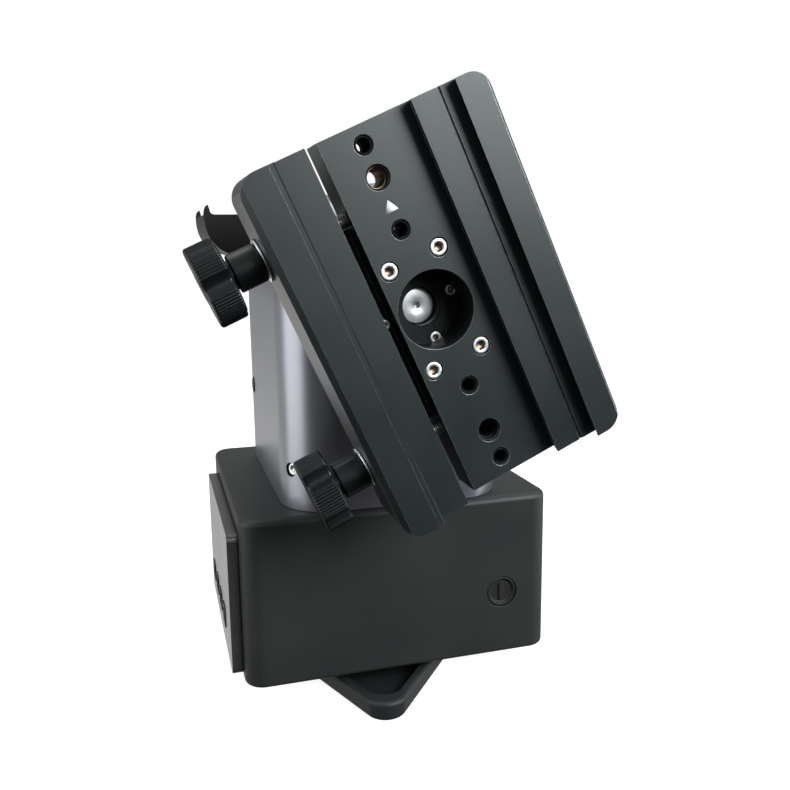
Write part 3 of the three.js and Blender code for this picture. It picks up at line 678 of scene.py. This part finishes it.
def tower():
    rings = []
    steps = 20
    for i in range(steps + 1):
        turn = math.pi / 2 * i / steps
        inset = TOWER_EDGE * (1 - math.sin(turn))
        rings.append(arch(inset, TOWER_FOOT, TOWER_FRONT + TOWER_EDGE * (1 - math.cos(turn))))
    rings.append(arch(0, TOWER_FOOT, TOWER_BACK - 0.6))
    rings.append(arch(0.6, TOWER_FOOT + 0.2, TOWER_BACK))
    rings.append(arch(5, TOWER_FOOT + 5, TOWER_BACK))
    rings.append(arch(5, TOWER_FOOT + 5, TOWER_BACK - 9))
    # The second slot and the cutters carry the painted-shade black for the plug hole and the screw seat.
    piece = new_object("tower_body", loft(bmesh.new(), rings), [TOWER_SILVER, ANODISED_SHADE])
    cuts = cylinder(bmesh.new(), FLANK_PLUG_R + GAP, -TOWER_HALF - 1, -TOWER_HALF + 2, "x", FLANK_PLUG_AT)
    combine(piece, new_object("cuts", cuts, [ANODISED_SHADE]), "DIFFERENCE")
    seat = cylinder(bmesh.new(), 4.6, -TOWER_EDGE - 2, -TOWER_EDGE + 3.2, "x")
    combine(piece, new_object("seat", seat, [ANODISED_SHADE], ON_EDGE), "DIFFERENCE")
    soften(piece, 0.25, 1)
    return own(piece, "head", ["tower"])


def tower_screw():
    """A flat head with a small recess, let into the tower's rounded edge."""
    start = -TOWER_EDGE + 1.8
    profile = [(0.02, start + 1.0), (1.5, start + 0.9), (1.6, start), (3.9, start - 0.2),
               (4.3, start + 0.2), (4.3, start + 1.1), (0.02, start + 1.15)]
    head = lathe(bmesh.new(), profile, "x", count=48)
    piece = new_object("tower_screw_head", head, [STEEL], ON_EDGE)
    return own(piece, "head", ["tower_screw"])


def flank_plug():
    low = -TOWER_HALF - 0.8
    profile = [(0.02, low + 0.25), (4.6, low + 0.2), (5.0, low), (5.8, low + 0.1),
               (FLANK_PLUG_R, low + 0.5), (FLANK_PLUG_R, low + 2.4), (0.02, low + 2.5)]
    bm = lathe(bmesh.new(), profile, "x", FLANK_PLUG_AT, 48)
    piece = new_object("flank_plug_cap", bm, [RUBBER])
    return own(piece, "head", ["flank_plug"])


def tower_cover():
    low = TOWER_FOOT + 5.3
    rings = [arch(5.3, low, TOWER_BACK - 5)]
    for rise, sink in ((0, 0.8), (0.8, 0), (6.7, 0), (7.3, 0.6), (8.3, 0.6), (8.9, 0)):
        rings.append(arch(5.3 + rise, low + rise, TOWER_BACK - sink))
    piece = new_object("tower_back_cover", loft(bmesh.new(), rings), [BRACKET_PLASTIC])
    soften(piece, 0.2, 1)
    return own(piece, "head", ["tower_cover"])


# ---------- cradle ----------
def curve_points(start, control, end, steps):
    points = []
    for i in range(1, steps + 1):
        t = i / steps
        points.append(tuple((1 - t) ** 2 * a + 2 * t * (1 - t) * b + t * t * c
                            for a, b, c in zip(start, control, end)))
    return points


CRADLE_TOP = 54.2
CRADLE_LOW = 28.0
CRADLE_OUT = -113.9
CRADLE_FLANK = -58.0
CRADLE_WALL = 3.0
CRADLE_END = 4.0


def cradle_wall(inset):
    """The outer wall of the cradle's section, from its shoulder down and in to the bottom."""
    start = (CRADLE_OUT + inset, 53)
    end = (-103.1 + inset, 32.1 + inset)
    points = [start] + curve_points(start, (-113.6 + inset, 38.5 + inset), end, 20)
    return points + curve_points(end, (-99, 30 + inset), (-92, CRADLE_LOW + inset), 10)


def cradle():
    """An open holder: an end wall with a claw at both ends of a curved outer wall."""
    low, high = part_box("cradle")
    front, back = low.y / MM, high.y / MM
    tip, root = (-111.3, 60.1), (-107, CRADLE_TOP)
    inner = (-110.4, (CRADLE_TOP + tip[1]) / 2)
    section = [(CRADLE_FLANK, CRADLE_LOW), (CRADLE_FLANK, CRADLE_TOP), root]
    section += curve_points(root, (-110.4, CRADLE_TOP), inner, 8) + [tip]
    section += curve_points(tip, (-114.2, 59), (CRADLE_OUT, 53), 10)
    section += cradle_wall(0)[1:]
    lift = WORLD @ Matrix.Translation((0, 0, ALT_Z))
    body = prism(bmesh.new(), section, front, back, "y")
    piece = new_object("cradle_body", body, [BRACKET_PLASTIC], lift)
    above = CRADLE_TOP + 16
    outline = [(CRADLE_FLANK, CRADLE_LOW + CRADLE_WALL), (CRADLE_FLANK, above)]
    outline += [(CRADLE_OUT + CRADLE_WALL, above)] + cradle_wall(CRADLE_WALL)
    hollow = prism(bmesh.new(), outline, front + CRADLE_END, back - CRADLE_END, "y")
    combine(piece, new_object("hollow", hollow, [], lift), "DIFFERENCE")
    gap = block(bmesh.new(), (CRADLE_OUT - 6, front + CRADLE_END, CRADLE_TOP),
                (CRADLE_FLANK + 8, back - CRADLE_END, above))
    combine(piece, new_object("gap", gap, [], lift), "DIFFERENCE")
    wall = block(bmesh.new(), (-TOWER_HALF - 3, front, CRADLE_LOW), (CRADLE_FLANK, back, CRADLE_TOP))
    combine(piece, new_object("wall", wall, [], lift), "UNION")
    keep = [(x, z) for x, _, z in arch(-GAP, TOWER_FOOT, 0)]
    keep_out = prism(bmesh.new(), keep, TOWER_FRONT - 1, TOWER_BACK + 1, "y")
    combine(piece, new_object("keep_out", keep_out, []), "DIFFERENCE")
    soften(piece, 0.5, 3)
    return own(piece, "head", ["cradle"])


# ---------- box housing ----------
BOX_CORNER = 13.0
BOX_EDGE = 4.5
FRONT_PLUG_R = 10.5


def front_plug_centre():
    low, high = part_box("front_plug")
    return ((low.x + high.x) / 2 / MM, (low.z + high.z) / 2 / MM)


def housing():
    low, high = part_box("housing")
    left, right, front, back = low.x / MM, high.x / MM, low.y / MM, high.y / MM
    bottom, top = low.z / MM, high.z / MM
    bottom_edge = BOX_EDGE * 0.6

    def ring(inset, z):
        corner = BOX_CORNER - inset
        outline = round_rect(left + inset, front + inset, right - inset, back - inset, corner, 12)
        return [(x, y, z) for x, y in outline]

    rings = [ring(4, bottom + 3), ring(4, bottom)]
    for i in range(9):
        turn = math.pi / 2 * i / 8
        rings.append(ring(bottom_edge * (1 - math.sin(turn)), bottom + bottom_edge * (1 - math.cos(turn))))
    for i in range(11):
        turn = math.pi / 2 * i / 10
        rings.append(ring(BOX_EDGE * (1 - math.cos(turn)), top - BOX_EDGE * (1 - math.sin(turn))))
    piece = new_object("box_housing", loft(bmesh.new(), rings), [BOX_PAINT])
    seat = cylinder(bmesh.new(), FRONT_PLUG_R + GAP, front - 1, front + 5.5, "y", front_plug_centre(), 72)
    combine(piece, new_object("seat", seat, [BOX_PAINT]), "DIFFERENCE")
    soften(piece, 0.4, 2)
    return own(piece, "head", ["housing"])


def front_plug():
    """A dished rubber plug with a raised finger tab."""
    low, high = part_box("front_plug")
    centre = front_plug_centre()
    front, back = low.y / MM, high.y / MM
    profile = [(AXIS_R, front + 1.9), (7.6, front + 1.8), (8.4, front + 1.2), (8.8, front + 0.3),
               (9.3, front), (10.1, front + 0.2), (FRONT_PLUG_R, front + 0.8), (FRONT_PLUG_R, back),
               (AXIS_R, back)]
    piece = new_object("front_plug_cap", lathe(bmesh.new(), profile, "y", centre, 72), [RUBBER])
    outline = [(centre[0] + a, centre[1] + b) for a, b in round_rect(-1.5, -6.2, 1.5, 6.2, 1.45, 6)]
    tab = prism(bmesh.new(), outline, front + 0.4, front + 2.4, "y")
    combine(piece, new_object("tab", tab, [RUBBER]), "UNION")
    soften(piece, 0.2, 2)
    return own(piece, "head", ["front_plug"])


# ---------- connector panel ----------
SOCKET_NODES = ("socket_power", "socket_hand_unit", "socket_guide", "socket_serial")
LIP_WIDE = 2.0
CONTACTS = 6


def connector_panel():
    low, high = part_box("connector_panel")
    outline = round_rect(low.y / MM, low.z / MM, high.y / MM, high.z / MM, 5, 10)
    body = prism(bmesh.new(), outline, low.x / MM, high.x / MM, "x")
    piece = new_object("panel_body", body, [PANEL, EDGE_WEAR_AND_HIGHLIGHT])
    cuts = bmesh.new()
    for node in SOCKET_NODES:
        a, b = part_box(node)
        block(cuts, (low.x / MM - 1, a.y / MM - GAP, a.z / MM - GAP),
              (b.x / MM + GAP, b.y / MM + GAP, b.z / MM + GAP))
    combine(piece, new_object("cuts", cuts, [PANEL]), "DIFFERENCE")
    soften(piece, 0.7, 3)
    return own(piece, "head", ["connector_panel"])


def socket(node):
    """A socket: a lipped body, a deep mouth and contact strips on its back wall."""
    low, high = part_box(node)
    x0, x1, y0, y1, z0, z1 = (value / MM for value in (low.x, high.x, low.y, high.y, low.z, high.z))
    middle = ((y0 + y1) / 2, (z0 + z1) / 2)
    deep = x0 + 5.2
    piece = new_object(node + "_body", block(bmesh.new(), (x0, y0, z0), (x1, y1, z1)), [SOCKET])
    if node == "socket_power":
        mouth = cylinder(bmesh.new(), (y1 - y0) / 2 - LIP_WIDE, x0 - 1, deep, "x", middle, 48)
    else:
        near = (x0 - 1, y0 + LIP_WIDE, z0 + LIP_WIDE)
        mouth = block(bmesh.new(), near, (deep, y1 - LIP_WIDE, z1 - LIP_WIDE))
        block(mouth, (x0 - 1, middle[0] - 2.5, z1 - 2.5), (deep, middle[0] + 2.5, z1 - 0.8))
    combine(piece, new_object("mouth", mouth, [SOCKET]), "DIFFERENCE", use_self=True)
    soften(piece, 0.25, 2)
    own(piece, "head", [node])
    pins = bmesh.new()
    if node == "socket_power":
        lathe(pins, [(0.9, x0 + 5.15), (0.9, x0 + 1.4), (0.5, x0 + 1.0)], "x", middle, 24)
    else:
        for i in range(CONTACTS):
            y = y0 + 3.4 + (y1 - y0 - 6.8) * i / (CONTACTS - 1)
            block(pins, (x0 + 4.2, y - 0.3, z0 + 2.4), (x0 + 5.18, y + 0.3, z1 - 4.0))
    own(new_object(node + "_pins", pins, [STEEL]), "head")


# ---------- foot ----------
FOOT_TURN = math.radians(-98.8)
FOOT_REACH = 118.5
FOOT_CORNER = 14.0
FOOT_EDGE = 3.0
POCKET_REACH = 109.0
POCKET_DEPTH = 7.0
FOOT_HUB_R = 69.0


def foot_outline(reach, radius, z, steps=28):
    """A triangle with round corners, their centres at a reach from the azimuth axis."""
    ring = []
    third = 2 * math.pi / 3
    for i in range(3):
        out = FOOT_TURN + i * third
        centre = (reach * math.cos(out), reach * math.sin(out))
        ring += arc(centre, radius, math.degrees(out - third / 2), math.degrees(out + third / 2), steps)
    return [(x, y, z) for x, y in ring]


def foot():
    """The casting, with three pockets round its hub."""
    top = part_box("foot")[1].z / MM
    rings = []
    for i in range(5):
        turn = math.pi / 2 * i / 4
        corner = FOOT_CORNER - FOOT_EDGE * (1 - math.sin(turn))
        rings.append(foot_outline(FOOT_REACH, corner, FOOT_EDGE * (1 - math.cos(turn))))
    for i in range(9):
        turn = math.pi / 2 * i / 8
        corner = FOOT_CORNER - FOOT_EDGE * (1 - math.cos(turn))
        rings.append(foot_outline(FOOT_REACH, corner, top - FOOT_EDGE * (1 - math.sin(turn))))
    piece = new_object("foot_casting", loft(bmesh.new(), rings), [FOOT_PAINT])
    bottom = top - POCKET_DEPTH
    rings = []
    for radius, rise in ((10.6, 0), (12, 0.2), (12.8, 1), (13, 2), (13, POCKET_DEPTH + 1)):
        rings.append(foot_outline(POCKET_REACH, radius, bottom + rise))
    # The pockets take the painted-shade colour.
    pockets = new_object("pockets", loft(bmesh.new(), rings), [FOOT_POCKET_SHADE])
    hub = new_object("hub", cylinder(bmesh.new(), FOOT_HUB_R, -1, top + 2, "z", count=160), [FOOT_POCKET_SHADE])
    combine(pockets, hub, "DIFFERENCE")
    combine(piece, pockets, "DIFFERENCE")
    soften(piece, 0.8, 3)
    return own(piece, "base", ["foot"])


def azimuth_bearing():
    low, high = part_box("azimuth_bearing")
    radius = high.x / MM
    bottom, top = low.z / MM, high.z / MM
    edge = 0.4
    profile = [(AXIS_R, bottom), (radius - edge, bottom), (radius, bottom + edge), (radius, top - edge),
               (radius - edge, top), (AXIS_R, top)]
    # The bearing ring is coloured with the painted-shade black: it sits in the shade under the box.
    piece = new_object("bearing_ring", lathe(bmesh.new(), profile, "z", count=128), [ANODISED_SHADE])
    soften(piece, 0.1, 1)
    return own(piece, "base", ["azimuth_bearing"])


# ---------- build ----------
saddle_plate()
saddle_jaw()
for place, side in (("upper", 1), ("lower", -1)):
    star_knob(place, side)
    washer(place, side)
    for hand, across in (("left", -1), ("right", 1)):
        node = "saddle_screw_%s_%s" % (place, hand)
        u, v = across * BOLT[0], side * BOLT[1]
        cap_screw(node + "_head", node, u, v, NARROW + 0.2, 4.8, 5.2, 2.7, "saddle")
for i, (u, v) in enumerate(HUB_SCREWS):
    node = "hub_screw_%d" % (i + 1)
    cap_screw(node + "_head", node, u, v, HUB_FRONT + 0.8, 3.6, 3.9, 1.7, "saddle")
cap_screw("jaw_stop_screw_head", "jaw_stop_screw", -27.5, 3.5, 27.5, 3, 6.7, 1.5, "saddle")
for i, (v, radius) in enumerate(FLOOR_HOLES):
    thread_insert(2 * i + 1, v, radius, i != 1)
    thread_insert(2 * i + 2, -v, radius, True)
pointer_mark()
altitude_hub()
altitude_shaft()
tower()
tower_screw()
flank_plug()
tower_cover()
cradle()
housing()
front_plug()
connector_panel()
for node in SOCKET_NODES:
    socket(node)
foot()
azimuth_bearing()
# The housing floor is recoloured with the painted-shade black, for the shade under the box.
floor_node = frame["nodes"]["housing_floor"]
floor_node.data.materials.clear()
floor_node.data.materials.append(ANODISED_SHADE)


# ---------- stage, camera and light ----------
CAMERA_PLACE = (-0.14841, -0.59430, 0.29671)
CAMERA_PAN = math.radians(-16.2613)
CAMERA_TILT = math.radians(79.7701)
CAMERA_ROLL = math.radians(-0.7152)
CAMERA_LENS = 37.917


def stage():
    bm = prism(bmesh.new(), [(-30, -30), (30, -30), (30, 30), (-30, 30)], -0.02, -0.0002, "z")
    material = surface("pale_floor", (0.34, 0.34, 0.34), (0.36, 0.36, 0.36), (0.7, 0.8), specular=0.1,
                       grain=0.02, bump=0.02, cloud=0.002)
    shader = material.node_tree.nodes["Principled BSDF"]
    shader.inputs["Emission Color"].default_value = (1, 1, 1, 1)
    shader.inputs["Emission Strength"].default_value = 0.9
    floor = new_object("stage_floor", bm, [material], Matrix.Identity(4))
    floor.visible_diffuse = False
    floor.visible_glossy = False


def camera():
    data = bpy.data.cameras.new("camera")
    data.sensor_width = 36
    data.lens = CAMERA_LENS
    data.clip_end = 100
    view = bpy.data.objects.new("camera", data)
    COLLECTION.objects.link(view)
    view.matrix_world = (
        Matrix.Translation(CAMERA_PLACE)
        @ Matrix.Rotation(CAMERA_PAN, 4, "Z")
        @ Matrix.Rotation(CAMERA_TILT, 4, "X")
        @ Matrix.Rotation(CAMERA_ROLL, 4, "Z")
    )
    bpy.context.scene.camera = view


def softbox(name, place, target, size, power, colour=(1, 1, 1)):
    data = bpy.data.lights.new(name, "AREA")
    data.shape = "RECTANGLE"
    data.size, data.size_y = size
    data.energy = power
    data.color = colour
    light = bpy.data.objects.new(name, data)
    COLLECTION.objects.link(light)
    light.location = place
    light.rotation_euler = (Vector(target) - Vector(place)).to_track_quat("-Z", "Y").to_euler()


def sky_ramp(nodes, links, height, stops):
    """A brightness that changes with height, from 0 straight down to 1 straight up."""
    ramp = nodes.new("ShaderNodeValToRGB")
    links.new(height, ramp.inputs["Fac"])
    elements = ramp.color_ramp.elements
    first, *between, last = stops
    for element, (position, colour) in zip(elements, (first, last)):
        element.position = position
        element.color = (*colour, 1)
    for position, colour in between:
        elements.new(position).color = (*colour, 1)
    return ramp.outputs["Color"]


def world():
    """White to the camera. The object sees a dome: pale above, dim low in front, pale low behind."""
    scene_world = bpy.data.worlds.new("studio")
    bpy.context.scene.world = scene_world
    scene_world.use_nodes = True
    nodes, links = scene_world.node_tree.nodes, scene_world.node_tree.links
    coords = nodes.new("ShaderNodeTexCoord")
    split = nodes.new("ShaderNodeSeparateXYZ")
    links.new(coords.outputs["Generated"], split.inputs["Vector"])
    height = nodes.new("ShaderNodeMapRange")
    height.inputs["From Min"].default_value = -1
    height.inputs["From Max"].default_value = 1
    links.new(split.outputs["Z"], height.inputs["Value"])
    height = height.outputs["Result"]
    front = sky_ramp(nodes, links, height, (
        (0.36, (0.03, 0.03, 0.03)), (0.52, (0.18, 0.185, 0.19)), (0.85, (0.75, 0.77, 0.80))))
    behind = sky_ramp(nodes, links, height, (
        (0.38, (0.80, 0.80, 0.78)), (0.5, (0.30, 0.305, 0.31))))
    side = nodes.new("ShaderNodeMapRange")
    side.inputs["From Min"].default_value = 0.05
    side.inputs["From Max"].default_value = 0.7
    links.new(split.outputs["Y"], side.inputs["Value"])
    both = nodes.new("ShaderNodeMix")
    both.data_type = "RGBA"
    links.new(side.outputs["Result"], both.inputs["Factor"])
    links.new(front, both.inputs["A"])
    links.new(behind, both.inputs["B"])
    background = nodes["Background"]
    background.inputs["Strength"].default_value = 1.0
    links.new(both.outputs["Result"], background.inputs["Color"])
    white = nodes.new("ShaderNodeBackground")
    white.inputs["Color"].default_value = (1, 1, 1, 1)
    white.inputs["Strength"].default_value = 1.05
    path = nodes.new("ShaderNodeLightPath")
    mix = nodes.new("ShaderNodeMixShader")
    links.new(path.outputs["Is Camera Ray"], mix.inputs["Fac"])
    links.new(background.outputs["Background"], mix.inputs[1])
    links.new(white.outputs["Background"], mix.inputs[2])
    links.new(mix.outputs["Shader"], nodes["World Output"].inputs["Surface"])


stage()
camera()
world()
softbox("right_high", (0.85, -1.5, 1.0), (0, -0.1, 0.3), (1.3, 0.8), 44, (0.94, 1.0, 1.0))
softbox("left_side", (-1.5, -0.12, 0.35), (0, 0, 0.25), (1.35, 1.3), 14)
softbox("right_side", (1.3, -0.35, 0.12), (0, 0, 0.15), (0.8, 0.6), 6)
softbox("overhead", (0.0, 0.5, 1.9), (0, 0, 0.2), (1.6, 1.2), 20)
bpy.context.scene.view_settings.view_transform = "Standard"
